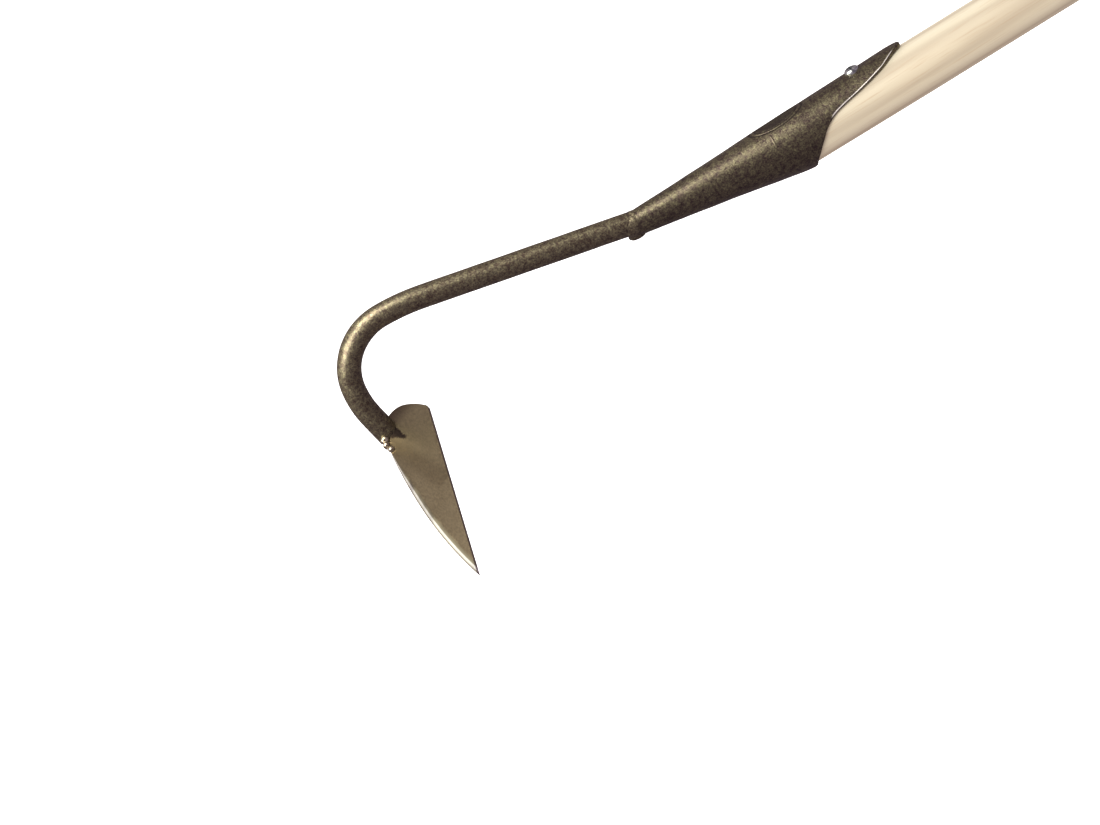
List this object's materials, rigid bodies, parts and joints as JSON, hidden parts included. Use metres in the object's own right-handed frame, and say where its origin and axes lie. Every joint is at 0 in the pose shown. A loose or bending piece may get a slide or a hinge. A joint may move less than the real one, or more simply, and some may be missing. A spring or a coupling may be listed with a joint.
{
  "type": "hand weeder",
  "caption": "Hand weeder with a pointed knife blade set sideways on a bent steel rod, and a rolled open-mouthed socket screwed to a round ash handle.",
  "frame": {"origin": "on the handle's axis, at the middle of the grip, 125 mm from the butt", "axes": "+X along the handle's axis, away from the blade; +Y the tool's back, where the socket's tab and its screw are; +Z out of the plane of the neck's bend, towards the blade's tip"},
  "size_m": [0.5867, 0.1031, 0.1295],
  "materials": {
    "ash_wood": "satin, fine lengthwise grain",
    "lacquered_steel": "thin dark olive-bronze lacquer, satin, finely speckled",
    "ground_steel": "satin ground blade, bright bevel",
    "weld_metal": "bright lumpy bead",
    "zinc_steel": "bright zinc plate"
  },
  "bodies": {
    "root": {"blade": "ground_steel", "neck_rod": "lacquered_steel", "socket": "lacquered_steel", "neck_weld": "lacquered_steel", "blade_weld": "weld_metal", "handle": "ash_wood", "socket_screw": "zinc_steel"}
  },
  "joints": []
}
